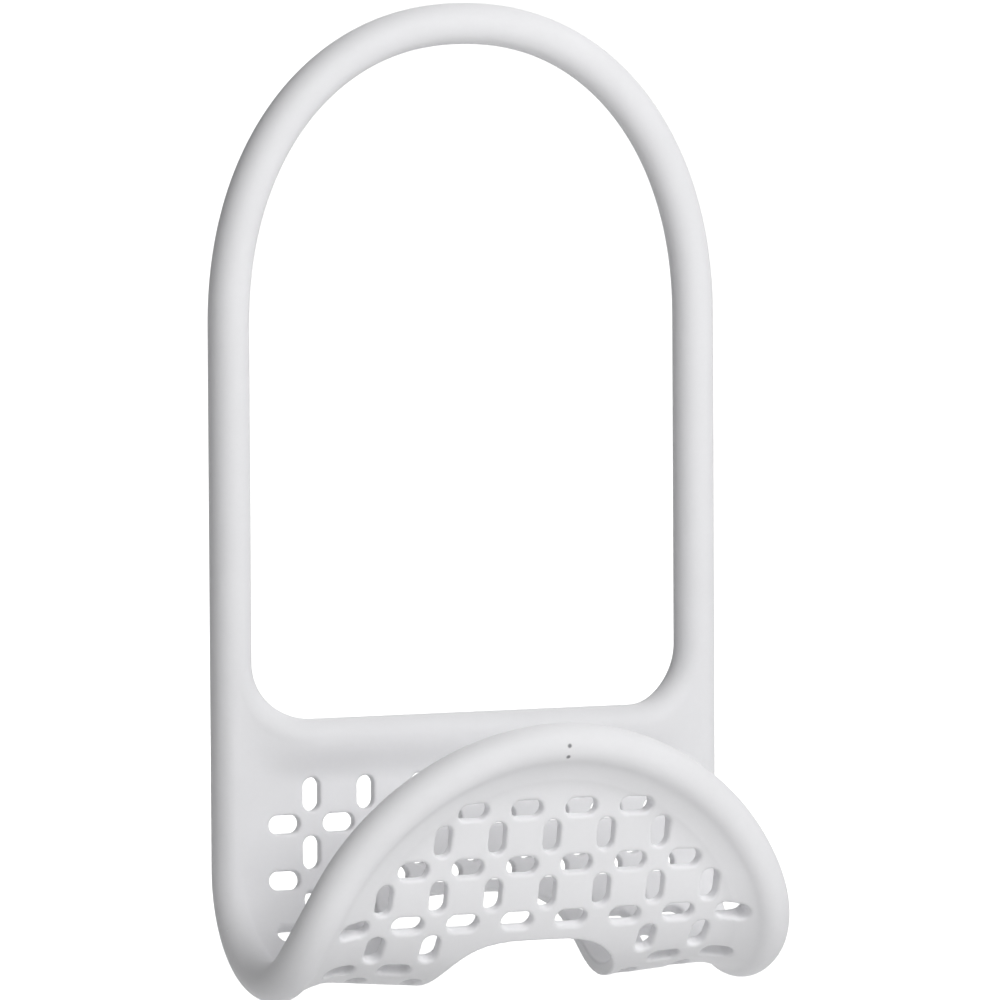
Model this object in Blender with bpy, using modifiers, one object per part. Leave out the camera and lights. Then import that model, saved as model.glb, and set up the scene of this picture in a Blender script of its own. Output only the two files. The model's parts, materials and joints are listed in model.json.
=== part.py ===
"""Faucet caddy: one soft moulding that hangs by a loop and holds a sponge in a sling.

The moulding is split into its natural regions, each a closed solid of its own, with a
fine gap between neighbours. Metres, +Z up, the front flap faces -Y. The origin is the
underside of the loop's crown, where the caddy rests on the tap.

The side rims follow one path in the YZ plane: straight down the back, round the turn
under the pouch, through a slacker bow and straight up the front flap. A place on it is
given by s, the length along the path from where the turn begins, negative up the back.
"""
from math import asin, cos, hypot, pi, radians, sin

import bmesh
import bpy
from mathutils import Matrix, Vector

# Sizes of the round section and the clearance between neighbouring regions
TUBE_D = 0.0123
GAP = 0.0003

# Hanging loop: centreline of the round section
LEG_SPACING = 0.1505
ARCH_RISE = 0.0890
ARCH_POWER = 2.14
CROWN_HALF_ANGLE = radians(38)

# Stretches of the legs, from the springing down: straight, two bends with a link, straight
LEG_FLEX_START = 0.0080
LEG_FLEX_LENGTH = 0.0380
LEG_LINK_LENGTH = 0.0080
LEG_LOWER_RUN = 0.0065

# Crossbar across the top of the back panel, and its corners into the legs
CORNER_R = 0.0235
CORNER_RUN = 0.0020
CROSSBAR_PROUD = 0.0042
PANEL_RISE = 0.0382

# Path of the sling: turn under the pouch, bow, front flap
TURN_R = 0.0300
TURN_SWEEP = radians(135)
BOW_R = 0.0400
FLAP_LEAN = radians(12)

# Outline of the front flap, which starts to narrow just before the turn ends
FLAP_TAPER_LEAD = 0.0057
FLAP_RISE = 0.0712
FLAP_POWER = 1.92

# Perforated sheet: its pouch face is flush with the round section at the back
# and set in from it at the flap
SHEET_T = 0.00375
SHEET_INSET_FLAP = 0.0045
SHEET_EDGE_OVERLAP = 0.0030

# Slots: upright ones in even rows, level ones in odd rows, counted from the top of the back
SLOT_LENGTH = 0.0100
SLOT_WIDTH = 0.0055
SLOT_PITCH = 0.00868
FIRST_ROW_RISE = 0.0220
BACK_ROWS = 4
TURN_ROWS = 5
FLAP_ROWS = 7
FLAP_ROW_LEAD = 0.0065
SLOT_COLUMNS = 7
SLOT_MARGIN = 0.0002
DRAIN_MARGIN = 0.0020

# Drain opening: a squarish oval, its middle this far to the back of the turn's lowest line,
# and by this share wider at its rear and narrower at its front
DRAIN_HALF_WIDTH = 0.0300
DRAIN_HALF_LENGTH = 0.0318
DRAIN_POWER = 3.4
DRAIN_FLARE = 0.05
DRAIN_BACKSET = 0.0044

# Fineness of the solids
TUBE_BEVEL = 4
RING_STEP = 0.0045
LEG_STEP = 0.0095
SHEET_STEP = 0.0200
ARCH_STEP = radians(4)
END_STEP = 0.0003
SLOT_END_STEPS = 5

TUBE_R = TUBE_D / 2
HALF_SPACING = LEG_SPACING / 2
LEG_FLEX_END = LEG_FLEX_START + 2 * LEG_FLEX_LENGTH + LEG_LINK_LENGTH
LEG_DROP = LEG_FLEX_END + LEG_LOWER_RUN + CORNER_R + PANEL_RISE
Z_SPRING = TUBE_R - ARCH_RISE
Z_TURN = Z_SPRING - LEG_DROP
Z_CROSSBAR = Z_TURN + PANEL_RISE
TURN_LENGTH = TURN_R * TURN_SWEEP
BOW_SWEEP = pi - FLAP_LEAN - TURN_SWEEP
BOW_LENGTH = BOW_R * BOW_SWEEP
FLAP_TAPER_START = TURN_LENGTH - FLAP_TAPER_LEAD
FLAP_FIRST_ROW = TURN_LENGTH - FLAP_ROW_LEAD
DRAIN_MID = TURN_R * pi / 2 - DRAIN_BACKSET
WHITE = (0.80, 0.80, 0.81, 1.0)


def clear_scene():
    for thing in list(bpy.data.objects):
        bpy.data.objects.remove(thing, do_unlink=True)


def new_collection(name):
    group = bpy.data.collections.new(name)
    bpy.context.scene.collection.children.link(group)
    return group


def elastomer(name):
    """White, soft-touch elastomer with a fine matte skin."""
    finish = bpy.data.materials.new(name + "_elastomer")
    finish.use_nodes = True
    shader = finish.node_tree.nodes["Principled BSDF"]
    shader.inputs["Base Color"].default_value = WHITE
    shader.inputs["Roughness"].default_value = 0.55
    shader.inputs["Metallic"].default_value = 0.0
    finish.diffuse_color = WHITE
    return finish


# The path of the sling

def path_heading(s):
    """Angle turned at s: 0 runs down, a right angle runs forwards."""
    if s <= 0:
        return 0.0
    if s <= TURN_LENGTH:
        return s / TURN_R
    return TURN_SWEEP + min(s - TURN_LENGTH, BOW_LENGTH) / BOW_R


def path_point(s, across=0.0, outward=0.0):
    """Point at s, moved across by X and outward, away from the pouch."""
    turn = path_heading(min(s, TURN_LENGTH))
    y = -TURN_R * (1 - cos(turn))
    z = Z_TURN - TURN_R * sin(turn) - min(s, 0.0)
    if s > TURN_LENGTH:
        bow = path_heading(min(s, TURN_LENGTH + BOW_LENGTH))
        y += BOW_R * (cos(bow) - cos(TURN_SWEEP))
        z -= BOW_R * (sin(bow) - sin(TURN_SWEEP))
    heading = path_heading(s)
    straight = max(s - TURN_LENGTH - BOW_LENGTH, 0.0)
    y -= straight * sin(heading)
    z -= straight * cos(heading)
    return Vector((across, y + outward * cos(heading), z - outward * sin(heading)))


def flap_half_width(s, inset=0.0):
    """Half width of the flap's outline at s, on the rim's centreline or set in from it."""
    share = max(s - FLAP_TAPER_START, 0.0) / (FLAP_RISE - inset)
    if share >= 1:
        return 0.0
    return (HALF_SPACING - inset) * (1 - share ** FLAP_POWER) ** (1 / FLAP_POWER)


def sheet_pouch_face(s):
    """How far the sheet's pouch face lies outward of the path, which is negative."""
    share = min(max(s / TURN_LENGTH, 0.0), 1.0)
    share = share * share * (3 - 2 * share)
    return -TUBE_R + (TUBE_R - SHEET_INSET_FLAP) * share


def drain_half_width(s, margin=0.0):
    """Half width of the drain opening at s, with a margin all round."""
    share = (s - DRAIN_MID) / (DRAIN_HALF_LENGTH + margin)
    oval = max(1 - abs(share) ** DRAIN_POWER, 0.0) ** (1 / DRAIN_POWER)
    return (DRAIN_HALF_WIDTH + margin) * (1 - DRAIN_FLARE * share) * oval


# The slot pattern

def row_place(row):
    """s of a row of slots: evenly spaced on the back, in the turn and on the flap."""
    last_back = (BACK_ROWS - 1) * SLOT_PITCH - FIRST_ROW_RISE
    if row < BACK_ROWS:
        return row * SLOT_PITCH - FIRST_ROW_RISE
    first_flap = BACK_ROWS + TURN_ROWS
    if row < first_flap:
        share = (row - BACK_ROWS + 1) / (TURN_ROWS + 1)
        return last_back + (FLAP_FIRST_ROW - last_back) * share
    return FLAP_FIRST_ROW + (row - first_flap) * SLOT_PITCH


def row_is_upright(row):
    return row % 2 == 0


def between_rows(row):
    """s halfway between the slots of a row and those of the next one."""
    reach = [SLOT_LENGTH / 2 if row_is_upright(r) else SLOT_WIDTH / 2 for r in (row, row + 1)]
    return (row_place(row) + reach[0] + row_place(row + 1) - reach[1]) / 2


def rounded_slot():
    """Outline of a slot lying along the first axis, centred."""
    radius = SLOT_WIDTH / 2
    reach = SLOT_LENGTH / 2 - radius
    outline = []
    for end in (1, -1):
        for step in range(SLOT_END_STEPS + 1):
            angle = -pi / 2 + pi * step / SLOT_END_STEPS
            outline.append((end * (reach + radius * cos(angle)), end * radius * sin(angle)))
    return outline


def rim_outline(steps=90):
    """Points (X, s) along the right half of the flap's rim."""
    points = [(HALF_SPACING, s) for s in steps_between(-PANEL_RISE, FLAP_TAPER_START)]
    for step in range(steps + 1):
        s = FLAP_TAPER_START + FLAP_RISE * sin(pi / 2 * step / steps)
        points.append((flap_half_width(s), s))
    return points


def slot_fits(across, s, upright, rim):
    """True where a slot keeps clear of the rim and of the drain opening."""
    for along, side in rounded_slot():
        x, place = (across + side, s + along) if upright else (across + along, s + side)
        if min(hypot(abs(x) - rx, place - rs) for rx, rs in rim) < TUBE_R + SLOT_MARGIN:
            return False
        if abs(x) < drain_half_width(place, DRAIN_MARGIN):
            return False
    return True


def slot_places():
    """Every slot as (X, s, upright)."""
    rim = rim_outline()
    places = []
    for row in range(BACK_ROWS + TURN_ROWS + FLAP_ROWS):
        upright = row_is_upright(row)
        for column in range(-SLOT_COLUMNS, SLOT_COLUMNS + 1):
            if (column % 2 == 0) != upright:
                continue
            across = column * SLOT_PITCH
            if slot_fits(across, row_place(row), upright, rim):
                places.append((across, row_place(row), upright))
    return places


# Makers of solids

def mesh_from_curve(curve, name):
    """Turns a curve into a closed mesh object's data."""
    guide = bpy.data.objects.new(name + "_guide", curve)
    bpy.context.scene.collection.objects.link(guide)
    bpy.context.view_layer.update()
    evaluated = guide.evaluated_get(bpy.context.evaluated_depsgraph_get())
    mesh = bpy.data.meshes.new_from_object(evaluated)
    mesh.name = name
    bpy.data.objects.remove(guide, do_unlink=True)
    bpy.data.curves.remove(curve)
    shape = bmesh.new()
    shape.from_mesh(mesh)
    bmesh.ops.remove_doubles(shape, verts=shape.verts, dist=1e-6)
    bmesh.ops.recalc_face_normals(shape, faces=shape.faces)
    shape.to_mesh(mesh)
    shape.free()
    return mesh


def tube(name, points, radius=TUBE_R):
    """Round bar along a line of points."""
    curve = bpy.data.curves.new(name, "CURVE")
    curve.dimensions = "3D"
    curve.bevel_depth = radius
    curve.bevel_resolution = TUBE_BEVEL
    curve.use_fill_caps = True
    spline = curve.splines.new("POLY")
    spline.points.add(len(points) - 1)
    for knot, point in zip(spline.points, points):
        knot.co = (*point, 1.0)
    part = bpy.data.objects.new(name, mesh_from_curve(curve, name))
    for face in part.data.polygons:
        face.use_smooth = len(face.vertices) == 4
    return part


def plate(name, outline, depth):
    """Flat outline with a thickness, centred on its plane."""
    curve = bpy.data.curves.new(name, "CURVE")
    curve.dimensions = "2D"
    curve.fill_mode = "BOTH"
    curve.extrude = depth / 2
    spline = curve.splines.new("POLY")
    spline.points.add(len(outline) - 1)
    for knot, (x, y) in zip(spline.points, outline):
        knot.co = (x, y, 0, 1)
    spline.use_cyclic_u = True
    return mesh_from_curve(curve, name)


def steps_between(start, end, step=RING_STEP):
    count = max(2, round(abs(end - start) / step))
    return [start + (end - start) * i / count for i in range(count + 1)]


def squared_steps(start, end, step=RING_STEP, last=END_STEP):
    """Even steps with a very short one at each end, which sets the end faces square."""
    last = last if end > start else -last
    return [start] + steps_between(start + last, end - last, step) + [end]


def sheet(name, places, left, right, pouch_face, thickness, columns=8):
    """Curved plate: a grid on its pouch face, given its thickness outward."""
    shape = bmesh.new()
    rows = []
    for s in places:
        row = []
        for i in range(columns + 1):
            across = left(s) + (right(s) - left(s)) * i / columns
            row.append(shape.verts.new(path_point(s, across, pouch_face(s))))
        rows.append(row)
    for upper, lower in zip(rows, rows[1:]):
        for i in range(columns):
            shape.faces.new((upper[i], lower[i], lower[i + 1], upper[i + 1]))
    mesh = bpy.data.meshes.new(name)
    shape.to_mesh(mesh)
    shape.free()
    part = bpy.data.objects.new(name, mesh)
    wall = part.modifiers.new("thickness", "SOLIDIFY")
    wall.thickness = thickness
    wall.offset = -1
    return part


def boolean(part, operation, other):
    change = part.modifiers.new(other.name, "BOOLEAN")
    change.operation = operation
    change.object = other
    change.solver = "EXACT"


def add_part(part, parts, parent=None):
    parts.objects.link(part)
    part.data.materials.clear()
    part.data.materials.append(elastomer(part.name))
    if parent:
        part.parent = parent
        part.matrix_parent_inverse = parent.matrix_world.inverted()
    return part


def add_cutter(part, cutters):
    cutters.objects.link(part)
    part.hide_render = True
    part.display_type = "WIRE"
    return part


def axis_empty(name, point, parts, parent=None):
    """Empty on a bending axis, which runs along X."""
    axis = bpy.data.objects.new(name, None)
    axis.location = point
    axis.empty_display_size = TUBE_D
    parts.objects.link(axis)
    bpy.context.view_layer.update()
    if parent:
        axis.parent = parent
        axis.matrix_parent_inverse = parent.matrix_world.inverted()
    bpy.context.view_layer.update()
    return axis


# Lines that the round sections follow

def arch_line(start, end):
    """Arch between two angles, counted from the left springing over the crown."""
    points = []
    for angle in squared_steps(start, end, ARCH_STEP, END_STEP / ARCH_RISE):
        side, height = -cos(angle), sin(angle)
        x = HALF_SPACING * abs(side) ** (2 / ARCH_POWER) * (1 if side > 0 else -1)
        z = Z_SPRING + ARCH_RISE * max(height, 0.0) ** (2 / ARCH_POWER)
        points.append(Vector((x, 0, z)))
    return points


def leg_line(side, start, end):
    """Stretch of a leg between two drops below the springing."""
    return [Vector((side * HALF_SPACING, 0, Z_SPRING - drop)) for drop in steps_between(start, end, LEG_STEP)]


def rim_line(side, start, end):
    """Stretch of a side rim between two places on the path."""
    return [path_point(s, side * HALF_SPACING) for s in squared_steps(start, end)]


def back_rim_line(side, end):
    """Leg beside the back panel, from under the lower bend into the turn."""
    upper = steps_between(LEG_FLEX_END + GAP - LEG_DROP, 0.0, LEG_STEP)
    lower = squared_steps(0.0, end)[1:]
    return [path_point(s, side * HALF_SPACING) for s in upper + lower]


def corner_line(side, overrun=0.0):
    """Quarter bend from the leg to just short of the crossbar, easing forwards on the way."""
    points = []
    for i in range(9):
        angle = pi / 2 * i / 8
        share = i / 8
        ease = share * share * (3 - 2 * share)
        points.append(Vector((
            side * (HALF_SPACING - CORNER_R * (1 - cos(angle))),
            -CROSSBAR_PROUD * ease,
            Z_CROSSBAR + CORNER_R * (1 - sin(angle)))))
    points.append(points[-1] - Vector((side * (CORNER_RUN - GAP / 2 + overrun), 0, 0)))
    return points


def crossbar_line(end):
    return [Vector((x, -CROSSBAR_PROUD, Z_CROSSBAR)) for x in steps_between(-end, end, SHEET_STEP)]


def front_rim_line(start):
    """Rim of the flap from its left lower end over the top to the right one."""
    lowest = asin((max(start - FLAP_TAPER_START, 0.0) / FLAP_RISE) ** (FLAP_POWER / 2))
    points = []
    for angle in squared_steps(lowest, pi - lowest, ARCH_STEP, END_STEP / FLAP_RISE):
        side, height = -cos(angle), max(sin(angle), 0.0)
        x = HALF_SPACING * abs(side) ** (2 / FLAP_POWER) * (1 if side > 0 else -1)
        points.append(path_point(FLAP_TAPER_START + FLAP_RISE * height ** (2 / FLAP_POWER), x))
    points[0].x, points[-1].x = points[1].x, points[-2].x
    return points


# Cutters

def slot_cutter(cutters):
    """All slots as plugs through the sheet, in one mesh."""
    plug = plate("slot", rounded_slot(), SHEET_T * 2.6)
    joined = bmesh.new()
    for across, s, upright in slot_places():
        middle = sheet_pouch_face(s) + SHEET_T / 2
        heading = path_heading(s)
        along = Vector((0, -sin(heading), -cos(heading)))
        outward = Vector((0, cos(heading), -sin(heading)))
        level = Vector((1, 0, 0))
        first, second = (along, level) if upright else (level, along)
        frame = Matrix((first, second, first.cross(second))).transposed().to_4x4()
        frame.translation = path_point(s, across, middle)
        copy = plug.copy()
        copy.transform(frame)
        joined.from_mesh(copy)
        bpy.data.meshes.remove(copy)
    mesh = bpy.data.meshes.new("slots")
    joined.to_mesh(mesh)
    joined.free()
    bpy.data.meshes.remove(plug)
    return add_cutter(bpy.data.objects.new("slots", mesh), cutters)


def drain_cutter(cutters):
    """Plug through the turn, a squarish oval seen from below."""
    places = []
    for step in range(-12, 13):
        share = abs(sin(radians(7 * step))) ** (2 / DRAIN_POWER)
        places.append(DRAIN_MID + DRAIN_HALF_LENGTH * (share if step > 0 else -share))
    return add_cutter(sheet(
        "drain", places, lambda s: -drain_half_width(s), drain_half_width,
        lambda s: -TUBE_D, TUBE_D * 1.6, columns=4), cutters)


def clear_tube(name, points, cutters):
    return add_cutter(tube(name, points, TUBE_R + GAP), cutters)


# Regions of the moulding

def make_loop(parts):
    """Crown, shoulders and the upper bending stretches of the legs."""
    low, high = pi / 2 - CROWN_HALF_ANGLE, pi / 2 + CROWN_HALF_ANGLE
    slit = GAP / 2 / ARCH_RISE
    add_part(tube("loop_crown", arch_line(low + slit, high - slit)), parts)
    for side, name in ((-1, "left"), (1, "right")):
        shoulder = arch_line(0.0, low - slit)
        foot = Vector((-HALF_SPACING, 0, Z_SPRING - LEG_FLEX_START + GAP / 2))
        line = [Vector((-side * p.x, p.y, p.z)) for p in [foot] + shoulder]
        add_part(tube(name + "_shoulder", line), parts)
        start = LEG_FLEX_START + GAP / 2
        upper = leg_line(side, start, LEG_FLEX_START + LEG_FLEX_LENGTH - GAP / 2)
        add_part(tube(name + "_leg_upper_flex", upper), parts)


def make_link(parts, axis):
    """Short stretch between the two bends, and the lower bending stretch."""
    top = LEG_FLEX_START + LEG_FLEX_LENGTH
    low = top + LEG_LINK_LENGTH
    for side, name in ((-1, "left"), (1, "right")):
        add_part(tube(name + "_leg_link", leg_line(side, top + GAP / 2, low - GAP / 2)), parts, axis)
        flex = leg_line(side, low + GAP / 2, LEG_FLEX_END - GAP / 2)
        add_part(tube(name + "_leg_lower_flex", flex), parts, axis)


def make_back(parts, cutters, axis, heel, slots, drain):
    """Legs beside the panel with their corner bends, the crossbar and the back panel."""
    reach = HALF_SPACING - CORNER_R - CORNER_RUN
    add_part(tube("crossbar", crossbar_line(reach - GAP / 2)), parts, axis)
    edge = HALF_SPACING - SHEET_EDGE_OVERLAP
    places = steps_between(-PANEL_RISE, 0.0, SHEET_STEP) + steps_between(0.0, heel - GAP / 2)[1:]
    panel = sheet("back_panel", places, lambda s: -edge, lambda s: edge, sheet_pouch_face, SHEET_T, 4)
    for side, name in ((-1, "left"), (1, "right")):
        rim = tube(name + "_back_rim", back_rim_line(side, heel - GAP / 2))
        bend = add_cutter(tube(name + "_corner_bend", corner_line(side)), cutters)
        boolean(rim, "UNION", bend)
        add_part(rim, parts, axis)
        boolean(panel, "DIFFERENCE", clear_tube(
            name + "_back_rim_clear", back_rim_line(side, heel + RING_STEP), cutters))
        boolean(panel, "DIFFERENCE", clear_tube(
            name + "_corner_clear", corner_line(side, TUBE_R), cutters))
    boolean(panel, "DIFFERENCE", clear_tube("crossbar_clear", crossbar_line(reach + TUBE_R), cutters))
    boolean(panel, "DIFFERENCE", drain)
    boolean(panel, "DIFFERENCE", slots)
    add_part(panel, parts, axis)


def make_turn_part(name, side, start, end, parts, cutters, axis, slots, drain):
    """Stretch of the turn on one side of the drain opening: rim and sheet in one."""
    start, end = start + GAP / 2, end - GAP / 2
    part = tube(name, rim_line(side, start, end))
    edge, inner = HALF_SPACING - SHEET_EDGE_OVERLAP, SLOT_PITCH / 2
    left, right = (-edge, -inner) if side < 0 else (inner, edge)
    web = sheet(name + "_web", steps_between(start, end), lambda s: left, lambda s: right,
                sheet_pouch_face, SHEET_T, 3)
    boolean(part, "UNION", add_cutter(web, cutters))
    boolean(part, "DIFFERENCE", drain)
    boolean(part, "DIFFERENCE", slots)
    add_part(part, parts, axis)


def make_flap(parts, cutters, axis, toe, slots, drain):
    """Front panel and its rim."""
    start = toe + GAP / 2
    add_part(tube("front_rim", front_rim_line(start)), parts, axis)
    rise = FLAP_RISE - SHEET_EDGE_OVERLAP
    places = [start] + [
        FLAP_TAPER_START + rise * share for share in
        (sin(radians(4 + 77 * i / 16)) for i in range(17)) if FLAP_TAPER_START + rise * share > start + GAP]
    width = lambda s: flap_half_width(s, SHEET_EDGE_OVERLAP)
    panel = sheet("front_panel", places, lambda s: -width(s), width, sheet_pouch_face, SHEET_T, 6)
    boolean(panel, "DIFFERENCE", clear_tube("front_rim_clear", front_rim_line(FLAP_TAPER_START), cutters))
    boolean(panel, "DIFFERENCE", drain)
    boolean(panel, "DIFFERENCE", slots)
    add_part(panel, parts, axis)


def build():
    clear_scene()
    parts = new_collection("faucet_caddy")
    cutters = new_collection("cutters")
    heel_from, heel_to = between_rows(BACK_ROWS), between_rows(BACK_ROWS + 1)
    last_turn_row = BACK_ROWS + TURN_ROWS - 1
    toe_from, toe_to = between_rows(last_turn_row), between_rows(last_turn_row + 1)

    upper_bend = Vector((0, 0, Z_SPRING - LEG_FLEX_START - LEG_FLEX_LENGTH / 2))
    lower_bend = Vector((0, 0, Z_SPRING - LEG_FLEX_END + LEG_FLEX_LENGTH / 2))
    upper_axis = axis_empty("leg_upper_axis", upper_bend, parts)
    lower_axis = axis_empty("leg_lower_axis", lower_bend, parts, upper_axis)
    heel_axis = axis_empty("heel_axis", path_point((heel_from + heel_to) / 2), parts, lower_axis)
    toe_axis = axis_empty("toe_axis", path_point((toe_from + toe_to) / 2), parts, heel_axis)

    slots, drain = slot_cutter(cutters), drain_cutter(cutters)
    make_loop(parts)
    make_link(parts, upper_axis)
    make_back(parts, cutters, lower_axis, heel_from, slots, drain)
    for side, name in ((-1, "left"), (1, "right")):
        make_turn_part(name + "_heel_flex", side, heel_from, heel_to, parts, cutters, lower_axis, slots, drain)
        make_turn_part(name + "_floor", side, heel_to, toe_from, parts, cutters, heel_axis, slots, drain)
        make_turn_part(name + "_toe_flex", side, toe_from, toe_to, parts, cutters, heel_axis, slots, drain)
    make_flap(parts, cutters, toe_axis, toe_to, slots, drain)
    bpy.context.view_layer.update()
    for axis in (upper_axis, lower_axis, heel_axis, toe_axis):
        print(axis.name, [round(v, 5) for v in axis.matrix_world.translation])


build()
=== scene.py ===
"""Faucet caddy: a single white elastomer moulding, a loop with a perforated sling under it.

The moulding is made in two runs. The loop is a round bar swept along its arch. The sling is
one skin round a skeleton: round rims, a sheet and a crossbar, melted together with fillets
and pierced by rounded slots. The skin is then parted where the object bends, and each stiff
stretch follows its own body. Metres, +Z up, the front flap faces -Y.
"""
import json
from math import cos, hypot, pi, radians, sin

import bmesh
import bpy
import numpy as np
from mathutils import Matrix, Vector

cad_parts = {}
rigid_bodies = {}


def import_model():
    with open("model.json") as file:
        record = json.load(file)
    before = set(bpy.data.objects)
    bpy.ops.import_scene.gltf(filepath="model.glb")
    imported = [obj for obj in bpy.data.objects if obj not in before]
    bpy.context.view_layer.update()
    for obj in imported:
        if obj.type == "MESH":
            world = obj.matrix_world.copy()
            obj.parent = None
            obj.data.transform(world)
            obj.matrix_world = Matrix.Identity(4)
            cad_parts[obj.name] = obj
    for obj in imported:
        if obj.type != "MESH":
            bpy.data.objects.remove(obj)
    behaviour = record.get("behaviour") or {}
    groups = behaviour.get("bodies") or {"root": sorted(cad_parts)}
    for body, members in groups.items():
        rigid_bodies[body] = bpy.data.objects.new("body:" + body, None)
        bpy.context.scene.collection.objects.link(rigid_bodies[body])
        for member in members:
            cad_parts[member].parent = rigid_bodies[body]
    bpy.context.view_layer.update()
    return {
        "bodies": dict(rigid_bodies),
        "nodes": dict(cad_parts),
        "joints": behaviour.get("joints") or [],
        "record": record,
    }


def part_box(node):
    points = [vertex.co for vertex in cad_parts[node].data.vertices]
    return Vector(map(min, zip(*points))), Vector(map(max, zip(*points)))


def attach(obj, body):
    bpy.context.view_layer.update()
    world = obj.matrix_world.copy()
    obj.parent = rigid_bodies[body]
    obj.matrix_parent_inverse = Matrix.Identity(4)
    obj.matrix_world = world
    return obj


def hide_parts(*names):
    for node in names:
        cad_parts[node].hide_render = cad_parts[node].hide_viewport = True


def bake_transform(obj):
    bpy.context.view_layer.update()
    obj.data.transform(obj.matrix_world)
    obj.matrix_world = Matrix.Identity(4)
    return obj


# Round section and sheet
SECTION_D = 0.0123
SHEET_T = 0.00375

# Hanging loop
LEG_SPACING = 0.1505
ARCH_RISE = 0.0890
ARCH_POWER = 2.14
UPPER_BEND = (0.0080, 0.0460)
LOWER_BEND = (0.0540, 0.0920)

# Crossbar and its corners
PANEL_RISE = 0.0382
LEG_DROP = 0.1602
CORNER_R = 0.0235
CROSSBAR_PROUD = 0.0042
CROSSBAR_SLOPE = 0.0141

# Path of the sling: down the back, round the turn, through the bow, up the flap
TURN_R = 0.0300
TURN_SWEEP = radians(135)
BOW_R = 0.0400
FLAP_LEAN = radians(12)
FLAP_TAPER_LEAD = 0.0057
FLAP_RISE = 0.0712
FLAP_POWER = 1.92

# Where the sheet lies between pouch side and outer side of the rims
OUTER_FACE_BACK = -0.0024
OUTER_FACE_FLAP = -0.00075
BELLY = 0.0048
BELLY_FLAT = 0.0270
BELLY_FALL = 0.085

# Slots
SLOT_LENGTH = 0.0100
SLOT_WIDTH = 0.0055
SLOT_PITCH = 0.00868
FIRST_ROW_RISE = 0.0220
BACK_ROWS = 4
TURN_ROWS = 5
FLAP_ROWS = 7
FLAP_ROW_LEAD = 0.0065
SLOT_COLUMNS = 7
SLOT_MARGIN = 0.0002
SLOT_EDGE = 0.0013

# Drain opening: a squarish oval, its middle this far to the back of the turn's lowest line,
# and by this share wider at its rear and narrower at its front
DRAIN_HALF_WIDTH = 0.0300
DRAIN_HALF_LENGTH = 0.0318
DRAIN_POWER = 3.4
DRAIN_FLARE = 0.05
DRAIN_BACKSET = 0.0044
DRAIN_MARGIN = 0.0020
DRAIN_EDGE = 0.0009

# Fillets: wider on the flap, and fading out above the corners
RIM_FILLET = 0.0100
FLAP_FILLET = 0.0180
CROSSBAR_FILLET = 0.0080

# Two small mould marks on top of the flap's rim, at these angles up from its outermost line
MARK_ANGLES = (radians(11), radians(-22))
MARK_R = 0.0006

# Fineness: cells of the skin, steps along its lines and sheet, each leg's share of the loop's
# points, and the swept bar's rings
CELL = 0.0006
LINE_STEP = 0.0004
ARCH_STEPS = 700
SHEET_STEP = 0.0006
SHEET_COLUMNS = 64
CORNER_STEPS = 40
CORNER_COLUMNS = 16
LEG_SHARE = 0.21
RING_STEP = 0.0010
RING_SIDES = 80

# The rims' lines and the skin run on this far past their ends, where they are cut off
LINE_OVERLAP = 0.0450
SKIN_OVERLAP = 0.0040

# The sheet ends inside the rim at the top of the flap
SHEET_SHORT = 0.0035

# How near its line a cut across the skin or the bar reaches
SKIN_CUT_REACH = 0.022
BAR_CUT_REACH = 0.012

SECTION_R = SECTION_D / 2
HALF_SPACING = LEG_SPACING / 2
Z_SPRING = SECTION_R - ARCH_RISE
Z_TURN = Z_SPRING - LEG_DROP
Z_CROSSBAR = Z_TURN + PANEL_RISE
TURN_LENGTH = TURN_R * TURN_SWEEP
BOW_SWEEP = pi - FLAP_LEAN - TURN_SWEEP
BOW_LENGTH = BOW_R * BOW_SWEEP
FLAP_TAPER_START = TURN_LENGTH - FLAP_TAPER_LEAD
FLAP_FIRST_ROW = TURN_LENGTH - FLAP_ROW_LEAD
LOWEST = TURN_R * pi / 2
DRAIN_MID = LOWEST - DRAIN_BACKSET


def linear(code):
    """sRGB hex colour as linear RGBA."""
    parts = [int(code[i:i + 2], 16) / 255 for i in (1, 3, 5)]
    return [p / 12.92 if p <= 0.04045 else ((p + 0.055) / 1.055) ** 2.4 for p in parts] + [1.0]


def add_node(tree, kind, inputs=None, **settings):
    """Adds a node with its settings; an input is a value, a socket or a node's first output."""
    made = tree.nodes.new(kind)
    for name, value in settings.items():
        setattr(made, name, value)
    for key, value in (inputs or {}).items():
        if isinstance(value, bpy.types.Node):
            value = value.outputs[0]
        if isinstance(value, bpy.types.NodeSocket):
            tree.links.new(value, made.inputs[key])
        else:
            made.inputs[key].default_value = value
    return made


# The path of the sling

def path_heading(s):
    if s <= 0:
        return 0.0
    if s <= TURN_LENGTH:
        return s / TURN_R
    return TURN_SWEEP + min(s - TURN_LENGTH, BOW_LENGTH) / BOW_R


def path_point(s, across=0.0, outward=0.0):
    """Point at s along the rims' centreline, moved across by X and outward of the pouch."""
    turn = path_heading(min(s, TURN_LENGTH))
    y = -TURN_R * (1 - cos(turn))
    z = Z_TURN - TURN_R * sin(turn) - min(s, 0.0)
    if s > TURN_LENGTH:
        bow = path_heading(min(s, TURN_LENGTH + BOW_LENGTH))
        y += BOW_R * (cos(bow) - cos(TURN_SWEEP))
        z -= BOW_R * (sin(bow) - sin(TURN_SWEEP))
    heading = path_heading(s)
    straight = max(s - TURN_LENGTH - BOW_LENGTH, 0.0)
    y -= straight * sin(heading)
    z -= straight * cos(heading)
    return Vector((across, y + outward * cos(heading), z - outward * sin(heading)))


def path_along(s):
    heading = path_heading(s)
    return Vector((0, -sin(heading), -cos(heading)))


def path_outward(s):
    heading = path_heading(s)
    return Vector((0, cos(heading), -sin(heading)))


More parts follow.
